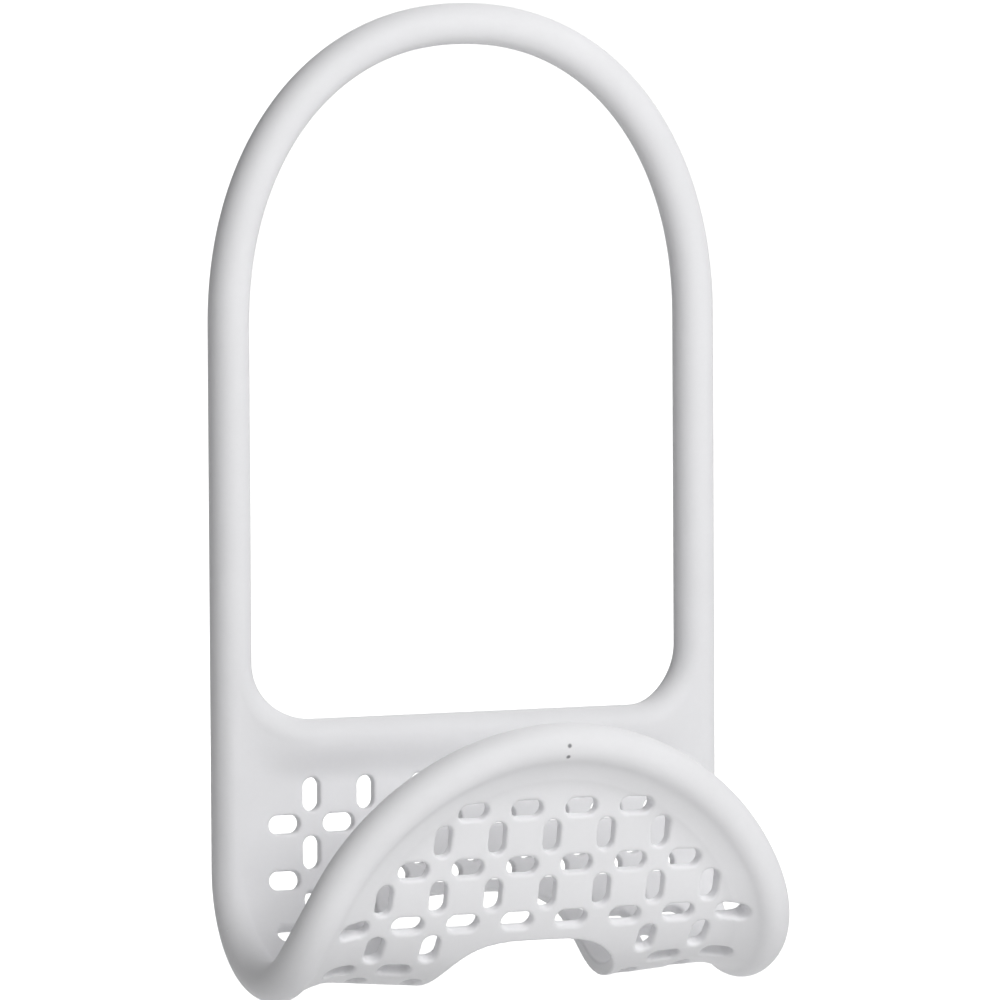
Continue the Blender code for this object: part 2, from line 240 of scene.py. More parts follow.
def flap_half_width(s):
    share = max(s - FLAP_TAPER_START, 0.0) / FLAP_RISE
    if share >= 1:
        return 0.0
    return HALF_SPACING * (1 - share ** FLAP_POWER) ** (1 / FLAP_POWER)


def drain_half_width(s, margin):
    share = (s - DRAIN_MID) / (DRAIN_HALF_LENGTH + margin)
    oval = max(1 - abs(share) ** DRAIN_POWER, 0.0) ** (1 / DRAIN_POWER)
    return (DRAIN_HALF_WIDTH + margin) * (1 - DRAIN_FLARE * share) * oval


def ease(share):
    share = min(max(share, 0.0), 1.0)
    return share * share * (3 - 2 * share)


def crossbar_swell(s, across):
    """How much the sheet thickens towards the pouch on its way up to the crossbar."""
    below = min(max((s + PANEL_RISE) / CROSSBAR_SLOPE, 0.0), 1.0)
    return CROSSBAR_PROUD * (1 - below ** 2) ** 3 * ease((HALF_SPACING - abs(across)) / CORNER_R)


def sheet_middle(s, across):
    """How far the middle of the sheet lies outward of the path: it bellies out round the drain."""
    outer = OUTER_FACE_BACK + (OUTER_FACE_FLAP - OUTER_FACE_BACK) * ease(s / TURN_LENGTH)
    belly = BELLY - BELLY_FALL * max(abs(across) - BELLY_FLAT, 0.0)
    reach = min(abs(s - LOWEST) / (LOWEST * 1.05), 1.0)
    return outer - (SHEET_T + crossbar_swell(s, across)) / 2 + belly * (1 - ease(reach))


# The slot pattern

def row_place(row):
    last_back = (BACK_ROWS - 1) * SLOT_PITCH - FIRST_ROW_RISE
    if row < BACK_ROWS:
        return row * SLOT_PITCH - FIRST_ROW_RISE
    first_flap = BACK_ROWS + TURN_ROWS
    if row < first_flap:
        share = (row - BACK_ROWS + 1) / (TURN_ROWS + 1)
        return last_back + (FLAP_FIRST_ROW - last_back) * share
    return FLAP_FIRST_ROW + (row - first_flap) * SLOT_PITCH


def between_rows(row):
    """s halfway between the slots of a row and those of the next one."""
    reach = [SLOT_LENGTH / 2 if r % 2 == 0 else SLOT_WIDTH / 2 for r in (row, row + 1)]
    return (row_place(row) + reach[0] + row_place(row + 1) - reach[1]) / 2


def slot_fits(across, s, upright, rim):
    radius = SLOT_WIDTH / 2
    reach = SLOT_LENGTH / 2 - radius
    for end in (1, -1):
        for step in range(6):
            angle = -pi / 2 + pi * step / 5
            along, side = end * (reach + radius * cos(angle)), end * radius * sin(angle)
            x, place = (across + side, s + along) if upright else (across + along, s + side)
            if min(hypot(abs(x) - rx, place - rs) for rx, rs in rim) < SECTION_R + SLOT_MARGIN:
                return False
            if abs(x) < drain_half_width(place, DRAIN_MARGIN):
                return False
    return True


def slot_places():
    """Every slot as (X, s, upright): upright and level slots alternate like bricks."""
    rim = [(flap_half_width(s), s) for s in np.arange(-PANEL_RISE, FLAP_TAPER_START, 0.004)]
    for step in range(91):
        s = FLAP_TAPER_START + FLAP_RISE * sin(pi / 2 * step / 90)
        rim.append((flap_half_width(s), s))
    places = []
    for row in range(BACK_ROWS + TURN_ROWS + FLAP_ROWS):
        upright = row % 2 == 0
        for column in range(-SLOT_COLUMNS, SLOT_COLUMNS + 1):
            across = column * SLOT_PITCH
            if (column % 2 == 0) == upright and slot_fits(across, row_place(row), upright, rim):
                places.append((across, row_place(row), upright))
    return places


# Skeleton of the sling

def add_object(name, mesh):
    made = bpy.data.objects.new(name, mesh)
    bpy.context.scene.collection.objects.link(made)
    return made


def line_object(name, lines):
    """Open lines of points as one mesh of edges."""
    mesh = bpy.data.meshes.new(name)
    points, edges = [], []
    for line in lines:
        edges += [(len(points) + i, len(points) + i + 1) for i in range(len(line) - 1)]
        points += [tuple(p) for p in line]
    mesh.from_pydata(points, edges, [])
    return add_object(name, mesh)


def rim_line():
    """Centreline of the rims: down the left leg, round the sling, over the flap, up the right leg."""
    places = np.arange(-PANEL_RISE - LINE_OVERLAP, FLAP_TAPER_START, LINE_STEP)
    down = [path_point(s, -HALF_SPACING) for s in places]
    over = []
    for i in range(1, ARCH_STEPS):
        side, height = -cos(pi * i / ARCH_STEPS), sin(pi * i / ARCH_STEPS)
        x = HALF_SPACING * abs(side) ** (2 / FLAP_POWER) * (1 if side > 0 else -1)
        over.append(path_point(FLAP_TAPER_START + FLAP_RISE * height ** (2 / FLAP_POWER), x))
    up = [Vector((-p.x, p.y, p.z)) for p in reversed(down)]
    return down + over + up


def crossbar_line():
    """Centreline of the crossbar with a quarter bend up into each leg, easing forwards."""
    corner = []
    for i in range(61):
        angle = pi / 2 * i / 60
        inward = 1 - cos(angle)
        corner.append(Vector((HALF_SPACING - CORNER_R * inward, -CROSSBAR_PROUD * ease(inward),
                              Z_CROSSBAR + CORNER_R * (1 - sin(angle)))))
    return corner + [Vector((-p.x, p.y, p.z)) for p in reversed(corner)]


def sheet_grid():
    """Middle surface of the sheet as a grid of faces."""
    rows = np.arange(-PANEL_RISE, FLAP_TAPER_START + FLAP_RISE - SHEET_SHORT, SHEET_STEP)
    columns = SHEET_COLUMNS
    points, faces = [], []
    for s in rows:
        half = max(flap_half_width(s), 0.0005)
        for i in range(columns + 1):
            across = half * (2 * i / columns - 1)
            points.append(tuple(path_point(s, across, sheet_middle(s, across))))
    for r in range(len(rows) - 1):
        for i in range(columns):
            a = r * (columns + 1) + i
            faces.append((a, a + columns + 1, a + columns + 2, a + 1))
    # the sheet also fills each corner, up to the bend from crossbar to leg
    steps, columns = CORNER_STEPS, CORNER_COLUMNS
    for side in (-1, 1):
        start = len(points)
        for i in range(steps + 1):
            height = CORNER_R * i / steps
            reach = CORNER_R - (CORNER_R ** 2 - (CORNER_R - height) ** 2) ** 0.5
            for j in range(columns + 1):
                across = HALF_SPACING - reach * j / columns
                middle = sheet_middle(-PANEL_RISE, across)
                points.append((side * across, middle, Z_CROSSBAR + height))
        for i in range(steps):
            for j in range(columns):
                a = start + i * (columns + 1) + j
                faces.append((a, a + 1, a + columns + 2, a + columns + 1))
    mesh = bpy.data.meshes.new("sheet_middle")
    mesh.from_pydata(points, [], faces)
    return add_object("sheet_middle", mesh)


def slot_points():
    """One point for each slot, with the way it lies and the way it goes through the sheet."""
    places = slot_places()
    mesh = bpy.data.meshes.new("slot_places")
    mesh.from_pydata([tuple(path_point(s, x, sheet_middle(s, x))) for x, s, _ in places], [], [])
    lies = [tuple(path_along(s)) if upright else (1.0, 0.0, 0.0) for _, s, upright in places]
    goes = [tuple(path_outward(s)) for _, s, _ in places]
    for name, vectors in (("slot_lies", lies), ("slot_goes", goes)):
        mesh.attributes.new(name, "FLOAT_VECTOR", "POINT").data.foreach_set(
            "vector", np.array(vectors, np.float32).ravel())
    return add_object("slot_places", mesh)


# Trees

def tree_inputs(tree, inputs):
    """Names the tree's inputs and its geometry output, and returns the group input's sockets."""
    kinds = {"Geometry": "NodeSocketGeometry", "Object": "NodeSocketObject", "Float": "NodeSocketFloat",
             "Vector": "NodeSocketVector", "Material": "NodeSocketMaterial", "Int": "NodeSocketInt"}
    for name, kind in inputs:
        tree.interface.new_socket(name, in_out="INPUT", socket_type=kinds[kind])
    tree.interface.new_socket("Geometry", in_out="OUTPUT", socket_type="NodeSocketGeometry")
    return add_node(tree, "NodeGroupInput").outputs


def skin_distance(tree, size, slots):
    """Distance from the skin of the sling, as a field: below zero is inside the moulding."""
    here = add_node(tree, "GeometryNodeInputPosition")
    axes = add_node(tree, "ShaderNodeSeparateXYZ", {0: here})
    beside = add_node(tree, "ShaderNodeMath", {0: axes.outputs["X"]}, operation="ABSOLUTE")

    # the sheet swells towards the crossbar, on the back only
    low = add_node(tree, "ShaderNodeMath", {0: size["Crossbar height"], 1: size["Crossbar slope"]},
                   operation="SUBTRACT")
    below = add_node(tree, "ShaderNodeMapRange", {
        "Value": axes.outputs["Z"], "From Min": size["Crossbar height"], "From Max": low})
    swell = add_node(tree, "ShaderNodeMath", {0: below, 1: 2.0}, operation="POWER")
    swell = add_node(tree, "ShaderNodeMath", {0: 1.0, 1: swell}, operation="SUBTRACT")
    swell = add_node(tree, "ShaderNodeMath", {0: swell, 1: 3.0}, operation="POWER")
    swell = add_node(tree, "ShaderNodeMath", {0: swell, 1: size["Crossbar proud"]}, operation="MULTIPLY")
    inner = add_node(tree, "ShaderNodeMath", {0: size["Half spacing"], 1: size["Corner radius"]},
                     operation="SUBTRACT")
    inward = add_node(tree, "ShaderNodeMapRange", {
        "Value": beside, "From Min": size["Half spacing"], "From Max": inner},
        interpolation_type="SMOOTHSTEP")
    swell = add_node(tree, "ShaderNodeMath", {0: swell, 1: inward}, operation="MULTIPLY")
    behind_edge = add_node(tree, "ShaderNodeMath", {0: size["Turn radius"], 1: -0.5},
                           operation="MULTIPLY")
    behind = add_node(tree, "ShaderNodeMath", {0: axes.outputs["Y"], 1: behind_edge},
                      operation="GREATER_THAN")
    thickness = add_node(tree, "ShaderNodeMath", {0: swell, 1: behind, 2: size["Sheet thickness"]},
                         operation="MULTIPLY_ADD")

    near, away, ways = {}, {}, {}
    for name, element, thick in (("Rim lines", "EDGES", size["Section diameter"]),
                                 ("Crossbar line", "EDGES", size["Section diameter"]),
                                 ("Sheet middle", "FACES", thickness)):
        shape = add_node(tree, "GeometryNodeObjectInfo", {"Object": size[name]}, transform_space="ORIGINAL")
        near[name] = add_node(tree, "GeometryNodeProximity", {"Geometry": shape.outputs["Geometry"]},
                              target_element=element)
        half = add_node(tree, "ShaderNodeMath", {0: thick, 1: 0.5}, operation="MULTIPLY")
        away[name] = add_node(tree, "ShaderNodeMath", {0: near[name].outputs["Distance"], 1: half},
                              operation="SUBTRACT")
        gap = add_node(tree, "ShaderNodeVectorMath", {0: here, 1: near[name].outputs["Position"]},
                       operation="SUBTRACT")
        ways[name] = add_node(tree, "ShaderNodeVectorMath", {0: gap}, operation="NORMALIZE")

    def melted(a, way_a, b, way_b, fillet):
        """Joins two shapes with a fillet that fades where their faces run the same way."""
        same = add_node(tree, "ShaderNodeVectorMath", {0: way_a, 1: way_b}, operation="DOT_PRODUCT")
        share = add_node(tree, "ShaderNodeMapRange", {
            "Value": same.outputs["Value"], "From Min": 1.0, "From Max": 0.1, "To Min": 0.0, "To Max": 1.0})
        width = add_node(tree, "ShaderNodeMath", {0: share, 1: fillet}, operation="MULTIPLY")
        return add_node(tree, "ShaderNodeMath", {0: a, 1: b, 2: width}, operation="SMOOTH_MIN")

    # the fillet between rim and sheet widens from the back to the flap, and ends above the corners
    front = add_node(tree, "ShaderNodeMath", {0: size["Turn radius"], 1: -1.6}, operation="MULTIPLY")
    fillet = add_node(tree, "ShaderNodeMapRange", {
        "Value": axes.outputs["Y"], "From Min": behind_edge, "From Max": front,
        "To Min": size["Rim fillet"], "To Max": size["Flap fillet"]}, interpolation_type="SMOOTHSTEP")
    bend = add_node(tree, "ShaderNodeMath", {0: size["Crossbar height"], 1: size["Corner radius"]},
                    operation="ADD")
    left_over = add_node(tree, "ShaderNodeMapRange", {
        "Value": axes.outputs["Z"], "From Min": size["Crossbar height"], "From Max": bend,
        "To Min": 1.0, "To Max": 0.0}, interpolation_type="SMOOTHSTEP")
    fillet = add_node(tree, "ShaderNodeMath", {0: fillet, 1: left_over}, operation="MULTIPLY")
    rims = melted(away["Rim lines"], ways["Rim lines"], away["Sheet middle"], ways["Sheet middle"], fillet)
    first = add_node(tree, "ShaderNodeMath", {0: away["Rim lines"], 1: away["Sheet middle"]},
                     operation="LESS_THAN")
    way = add_node(tree, "ShaderNodeMix", {0: first, 4: ways["Sheet middle"], 5: ways["Rim lines"]},
                   data_type="VECTOR")
    fillet = add_node(tree, "ShaderNodeMath", {0: size["Crossbar fillet"], 1: left_over},
                      operation="MULTIPLY")
    solid = melted(rims, way.outputs[1], away["Crossbar line"], ways["Crossbar line"], fillet)

    core = add_node(tree, "GeometryNodeProximity", {"Geometry": slots}, target_element="FACES")
    half = add_node(tree, "ShaderNodeMath", {0: size["Slot width"], 1: 0.5}, operation="MULTIPLY")
    outside_slot = add_node(tree, "ShaderNodeMath", {0: half, 1: core.outputs["Distance"]},
                            operation="SUBTRACT")
    solid = add_node(tree, "ShaderNodeMath", {0: solid, 1: outside_slot, 2: size["Slot edge"]},
                     operation="SMOOTH_MAX")

    # the drain is a squarish oval on the turn, laid out by the angle round its axis
    forth = add_node(tree, "ShaderNodeMath", {0: axes.outputs["Y"], 1: size["Turn radius"]}, operation="ADD")
    down = add_node(tree, "ShaderNodeMath", {0: size["Turn height"], 1: axes.outputs["Z"]},
                    operation="SUBTRACT")
    angle = add_node(tree, "ShaderNodeMath", {0: down, 1: forth}, operation="ARCTAN2")
    place = add_node(tree, "ShaderNodeMath", {0: angle, 1: size["Turn radius"]}, operation="MULTIPLY")
    place = add_node(tree, "ShaderNodeMath", {0: place, 1: size["Drain middle"]}, operation="SUBTRACT")
    along = add_node(tree, "ShaderNodeMath", {0: place, 1: size["Drain half length"]}, operation="DIVIDE")
    flare = add_node(tree, "ShaderNodeMath", {0: along, 1: size["Drain flare"]}, operation="MULTIPLY")
    flare = add_node(tree, "ShaderNodeMath", {0: 1.0, 1: flare}, operation="SUBTRACT")
    width = add_node(tree, "ShaderNodeMath", {0: flare, 1: size["Drain half width"]}, operation="MULTIPLY")
    sideways = add_node(tree, "ShaderNodeMath", {0: beside, 1: width}, operation="DIVIDE")
    along = add_node(tree, "ShaderNodeMath", {0: along}, operation="ABSOLUTE")
    powers = [add_node(tree, "ShaderNodeMath", {0: share, 1: size["Drain power"]}, operation="POWER")
              for share in (sideways, along)]
    oval = add_node(tree, "ShaderNodeMath", {0: powers[0], 1: powers[1]}, operation="ADD")
    root = add_node(tree, "ShaderNodeMath", {0: 1.0, 1: size["Drain power"]}, operation="DIVIDE")
    oval = add_node(tree, "ShaderNodeMath", {0: oval, 1: root}, operation="POWER")
    inside_drain = add_node(tree, "ShaderNodeMath", {0: 1.0, 1: oval}, operation="SUBTRACT")
    inside_drain = add_node(tree, "ShaderNodeMath", {0: inside_drain, 1: size["Drain half length"]},
                            operation="MULTIPLY")
    return add_node(tree, "ShaderNodeMath", {0: solid, 1: inside_drain, 2: size["Drain edge"]},
                    operation="SMOOTH_MAX")


def sling_tree():
    tree = bpy.data.node_groups.new("perforated_sling", "GeometryNodeTree")
    size = tree_inputs(tree, [
        ("Slot places", "Geometry"), ("Rim lines", "Object"), ("Crossbar line", "Object"),
        ("Sheet middle", "Object"), ("Section diameter", "Float"), ("Sheet thickness", "Float"),
        ("Rim fillet", "Float"), ("Flap fillet", "Float"), ("Crossbar fillet", "Float"),
        ("Slot length", "Float"), ("Slot width", "Float"), ("Slot edge", "Float"),
        ("Drain half width", "Float"), ("Drain half length", "Float"), ("Drain middle", "Float"),
        ("Drain power", "Float"), ("Drain flare", "Float"), ("Drain edge", "Float"),
        ("Turn radius", "Float"), ("Turn height", "Float"), ("Half spacing", "Float"),
        ("Corner radius", "Float"), ("Crossbar height", "Float"), ("Crossbar proud", "Float"),
        ("Crossbar slope", "Float"), ("Cell", "Float"), ("Low corner", "Vector"),
        ("High corner", "Vector"), ("Material", "Material")])
    run = add_node(tree, "ShaderNodeMath", {0: size["Slot length"], 1: size["Slot width"]},
                   operation="SUBTRACT")
    deep = add_node(tree, "ShaderNodeMath", {0: size["Section diameter"], 1: 1.6}, operation="MULTIPLY")
    blade = add_node(tree, "GeometryNodeMeshGrid", {"Size X": run, "Size Y": deep, "Vertices X": 2,
                                                     "Vertices Y": 2})
    lies = add_node(tree, "GeometryNodeInputNamedAttribute", {"Name": "slot_lies"}, data_type="FLOAT_VECTOR")
    goes = add_node(tree, "GeometryNodeInputNamedAttribute", {"Name": "slot_goes"}, data_type="FLOAT_VECTOR")
    turned = add_node(tree, "FunctionNodeAlignRotationToVector", {"Vector": lies}, axis="X")
    turned = add_node(tree, "FunctionNodeAlignRotationToVector", {"Rotation": turned, "Vector": goes},
                      axis="Y", pivot_axis="X")
    blades = add_node(tree, "GeometryNodeInstanceOnPoints", {
        "Points": size["Slot places"], "Instance": blade.outputs["Mesh"], "Rotation": turned})
    blades = add_node(tree, "GeometryNodeRealizeInstances", {"Geometry": blades})
    away = skin_distance(tree, size, blades.outputs[0])

    span = add_node(tree, "ShaderNodeVectorMath", {0: size["High corner"], 1: size["Low corner"]},
                    operation="SUBTRACT")
    per = add_node(tree, "ShaderNodeMath", {0: 1.0, 1: size["Cell"]}, operation="DIVIDE")
    count = add_node(tree, "ShaderNodeVectorMath", {0: span, "Scale": per}, operation="SCALE")
    count = add_node(tree, "ShaderNodeSeparateXYZ", {0: count})
    density = add_node(tree, "ShaderNodeMath", {0: away, 1: -1.0}, operation="MULTIPLY")
    block = add_node(tree, "GeometryNodeVolumeCube", {
        "Density": density, "Background": -0.01, "Min": size["Low corner"], "Max": size["High corner"],
        "Resolution X": count.outputs["X"], "Resolution Y": count.outputs["Y"],
        "Resolution Z": count.outputs["Z"]})
    skin = add_node(tree, "GeometryNodeVolumeToMesh", {"Volume": block, "Threshold": 0.0})
    for _ in range(3):
        facing = add_node(tree, "GeometryNodeInputNormal")
        step = add_node(tree, "ShaderNodeVectorMath", {0: facing, "Scale": density}, operation="SCALE")
        skin = add_node(tree, "GeometryNodeSetPosition", {"Geometry": skin, "Offset": step})
    skin = add_node(tree, "GeometryNodeRealizeInstances", {"Geometry": skin})
    skin = add_node(tree, "GeometryNodeSetMaterial", {"Geometry": skin, "Material": size["Material"]})
    add_node(tree, "NodeGroupOutput", {"Geometry": skin})
    return tree


def run_tree(holder, tree, values):
    """Gives the object the tree with its sizes, and returns what it makes as a plain mesh."""
    modifier = holder.modifiers.new(tree.name, "NODES")
    modifier.node_group = tree
    for item in tree.interface.items_tree:
        if item.in_out == "INPUT" and item.name in values:
            modifier[item.identifier] = values[item.name]
    holder.update_tag()
    bpy.context.view_layer.update()
    made = bpy.data.meshes.new_from_object(holder.evaluated_get(bpy.context.evaluated_depsgraph_get()))
    holder.modifiers.remove(modifier)
    return made


def loop_tree():
    """A round bar swept up the left leg, over the arch and down the right leg."""
    tree = bpy.data.node_groups.new("hanging_loop", "GeometryNodeTree")
    size = tree_inputs(tree, [
        ("Holder", "Geometry"), ("Half spacing", "Float"), ("Arch rise", "Float"), ("Arch power", "Float"),
        ("Spring height", "Float"), ("Leg length", "Float"), ("Leg share", "Float"),
        ("Section radius", "Float"), ("Ring step", "Float"), ("Sides", "Int"), ("Material", "Material")])
    line = add_node(tree, "GeometryNodeCurvePrimitiveLine")
    line = add_node(tree, "GeometryNodeResampleCurve", {"Curve": line, "Count": 3001})
    share = add_node(tree, "GeometryNodeSplineParameter")
    other = add_node(tree, "ShaderNodeMath", {0: 1.0, 1: size["Leg share"]}, operation="SUBTRACT")
    turn = add_node(tree, "ShaderNodeMapRange", {
        "Value": share.outputs["Factor"], "From Min": size["Leg share"], "From Max": other, "To Max": pi})
    power = add_node(tree, "ShaderNodeMath", {0: 2.0, 1: size["Arch power"]}, operation="DIVIDE")
    level = add_node(tree, "ShaderNodeMath", {0: turn}, operation="COSINE")
    side = add_node(tree, "ShaderNodeMath", {0: level}, operation="SIGN")
    wide = add_node(tree, "ShaderNodeMath", {0: level}, operation="ABSOLUTE")
    wide = add_node(tree, "ShaderNodeMath", {0: wide, 1: power}, operation="POWER")
    wide = add_node(tree, "ShaderNodeMath", {0: wide, 1: side}, operation="MULTIPLY")
    reach = add_node(tree, "ShaderNodeMath", {0: size["Half spacing"], 1: -1.0}, operation="MULTIPLY")
    across = add_node(tree, "ShaderNodeMath", {0: wide, 1: reach}, operation="MULTIPLY")
    high = add_node(tree, "ShaderNodeMath", {0: turn}, operation="SINE")
    high = add_node(tree, "ShaderNodeMath", {0: high, 1: 0.0}, operation="MAXIMUM")
    high = add_node(tree, "ShaderNodeMath", {0: high, 1: power}, operation="POWER")
    high = add_node(tree, "ShaderNodeMath", {0: high, 1: size["Arch rise"], 2: size["Spring height"]},
                    operation="MULTIPLY_ADD")
    left = add_node(tree, "ShaderNodeMapRange", {
        "Value": share.outputs["Factor"], "From Min": 0.0, "From Max": size["Leg share"],
        "To Min": size["Leg length"], "To Max": 0.0})
    right = add_node(tree, "ShaderNodeMapRange", {
        "Value": share.outputs["Factor"], "From Min": other, "From Max": 1.0,
        "To Min": 0.0, "To Max": size["Leg length"]})
    drop = add_node(tree, "ShaderNodeMath", {0: left, 1: right}, operation="ADD")
    high = add_node(tree, "ShaderNodeMath", {0: high, 1: drop}, operation="SUBTRACT")
    place = add_node(tree, "ShaderNodeCombineXYZ", {"X": across, "Z": high})
    line = add_node(tree, "GeometryNodeSetPosition", {"Geometry": line, "Position": place})
    line = add_node(tree, "GeometryNodeResampleCurve", {"Curve": line, "Length": size["Ring step"]},
                    mode="LENGTH")
    section = add_node(tree, "GeometryNodeCurvePrimitiveCircle", {
        "Resolution": size["Sides"], "Radius": size["Section radius"]})
    bar = add_node(tree, "GeometryNodeCurveToMesh", {
        "Curve": line, "Profile Curve": section.outputs["Curve"], "Fill Caps": True})
    bar = add_node(tree, "GeometryNodeRealizeInstances", {"Geometry": bar})
    bar = add_node(tree, "GeometryNodeSetMaterial", {"Geometry": bar, "Material": size["Material"]})
    add_node(tree, "NodeGroupOutput", {"Geometry": bar})
    return tree


# Parting the skin into the stretches that move

def turn_angle(y, z):
    """Angle turned round the pouch at a point: below zero up the back, past pi up the flap."""
    angle = np.arctan2(Z_TURN - z, y + TURN_R)
    return np.where(angle < -pi / 2, angle + 2 * pi, angle)


def score(mesh, cuts):
    """Draws an edge loop across the mesh at each cut: a point, a direction and how near it reaches."""
    shape = bmesh.new()
    shape.from_mesh(mesh)
    for point, way, reach in cuts:
        faces = [f for f in shape.faces if (f.verts[0].co - point).yz.length < reach]
        edges = {e for f in faces for e in f.edges}
        verts = {v for f in faces for v in f.verts}
        bmesh.ops.bisect_plane(shape, geom=[*faces, *edges, *verts], dist=1e-8, plane_co=point, plane_no=way)
    shape.to_mesh(mesh)
    shape.free()


def take(mesh, wanted, name):
    """The wanted faces as a mesh of their own, with each open end closed."""
    starts = np.zeros(len(mesh.polygons), np.int32)
    counts = np.zeros(len(mesh.polygons), np.int32)
    corners = np.zeros(len(mesh.loops), np.int32)
    spots = np.zeros(len(mesh.vertices) * 3, np.float32)
    mesh.polygons.foreach_get("loop_start", starts)
    mesh.polygons.foreach_get("loop_total", counts)
    mesh.loops.foreach_get("vertex_index", corners)
    mesh.vertices.foreach_get("co", spots)
    starts, counts = starts[wanted], counts[wanted]
    first = np.concatenate(([0], np.cumsum(counts)[:-1]))
    kept = corners[np.repeat(starts - first, counts) + np.arange(counts.sum())]
    used, kept = np.unique(kept, return_inverse=True)
    made = bpy.data.meshes.new(name)
    made.vertices.add(len(used))
    made.vertices.foreach_set("co", spots.reshape(-1, 3)[used].ravel())
    made.loops.add(len(kept))
    made.loops.foreach_set("vertex_index", kept.astype(np.int32))
    made.polygons.add(len(counts))
    made.polygons.foreach_set("loop_start", first.astype(np.int32))
    made.update(calc_edges=True)
    shape = bmesh.new()
    shape.from_mesh(made)
    rims = [e for e in shape.edges if e.is_boundary]
    caps = bmesh.ops.holes_fill(shape, edges=rims, sides=0)["faces"]
    bmesh.ops.triangulate(shape, faces=caps)
    for face in shape.faces:
        face.smooth = True
    if shape.calc_volume(signed=True) < 0:
        bmesh.ops.reverse_faces(shape, faces=shape.faces)
    shape.to_mesh(made)
    shape.free()
    made.set_sharp_from_angle(angle=radians(75))
    return made


def face_centres(mesh):
    spots = np.zeros(len(mesh.polygons) * 3, np.float32)
    mesh.polygons.foreach_get("center", spots)
    return spots.reshape(-1, 3)


def finish_piece(mesh, finish, *nodes):
    """The mesh as a piece that stands for these solids of the frame."""
    mesh.materials.clear()
    mesh.materials.append(finish)
    piece = add_object(mesh.name, mesh)
    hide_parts(*nodes)
    return piece


def make_sling(finish):
    """The skin of the sling, parted into back, heels, floors, toes and flap."""
    places = slot_points()
    rims = line_object("rim_lines", [rim_line()])
    crossbar = line_object("crossbar_line", [crossbar_line()])
    middle = sheet_grid()
    reach = SECTION_R + 4 * CELL
    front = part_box("front_rim")[0].y - 4 * CELL
    top = Z_SPRING - LOWER_BEND[1]
    skin = run_tree(places, sling_tree(), {
        "Rim lines": rims, "Crossbar line": crossbar, "Sheet middle": middle,
        "Section diameter": SECTION_D, "Sheet thickness": SHEET_T, "Rim fillet": RIM_FILLET,
        "Flap fillet": FLAP_FILLET, "Crossbar fillet": CROSSBAR_FILLET,
        "Slot length": SLOT_LENGTH, "Slot width": SLOT_WIDTH, "Slot edge": SLOT_EDGE,
        "Drain half width": DRAIN_HALF_WIDTH, "Drain half length": DRAIN_HALF_LENGTH,
        "Drain middle": DRAIN_MID, "Drain power": DRAIN_POWER, "Drain flare": DRAIN_FLARE,
        "Drain edge": DRAIN_EDGE, "Turn radius": TURN_R, "Turn height": Z_TURN,
        "Half spacing": HALF_SPACING, "Corner radius": CORNER_R, "Crossbar height": Z_CROSSBAR,
        "Crossbar proud": CROSSBAR_PROUD, "Crossbar slope": CROSSBAR_SLOPE, "Cell": CELL,
        "Low corner": (-HALF_SPACING - reach, front, Z_TURN - TURN_R - reach),
        "High corner": (HALF_SPACING + reach, reach, top + SKIN_OVERLAP), "Material": finish})
    for guide in (places, rims, crossbar, middle):
        bpy.data.objects.remove(guide)

    cuts = [between_rows(BACK_ROWS), between_rows(BACK_ROWS + 1),
            between_rows(BACK_ROWS + TURN_ROWS - 1), between_rows(BACK_ROWS + TURN_ROWS)]
    score(skin, [(path_point(s), path_along(s), SKIN_CUT_REACH) for s in cuts]
          + [(Vector((0, 0, top)), Vector((0, 0, 1)), SKIN_CUT_REACH)])
    centre = face_centres(skin)
    angle = turn_angle(centre[:, 1], centre[:, 2])
    stretch = np.digitize(angle, [s / TURN_R for s in cuts])
    stretch[(centre[:, 2] > top) & (stretch == 0)] = -1
    left = centre[:, 0] < 0

    back = finish_piece(take(skin, stretch == 0, "sling_back"), finish,
                        "back_panel", "crossbar", "left_back_rim", "right_back_rim")
    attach(back, "back")
    flap = finish_piece(take(skin, stretch == 4, "sling_flap"), finish, "front_panel", "front_rim")
    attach(flap, "flap")
    for side, on_side in (("left", left), ("right", ~left)):
        heel = finish_piece(take(skin, (stretch == 1) & on_side, side + "_heel"), finish,
                            side + "_heel_flex")
        path_point(cuts[0])
        path_point(cuts[1])
        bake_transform(heel)
        floor = finish_piece(take(skin, (stretch == 2) & on_side, side + "_sling_floor"), finish,
                             side + "_floor")
        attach(floor, "floor")
        toe = finish_piece(take(skin, (stretch == 3) & on_side, side + "_toe"), finish,
                           side + "_toe_flex")
        path_point(cuts[2])
        path_point(cuts[3])
        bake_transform(toe)


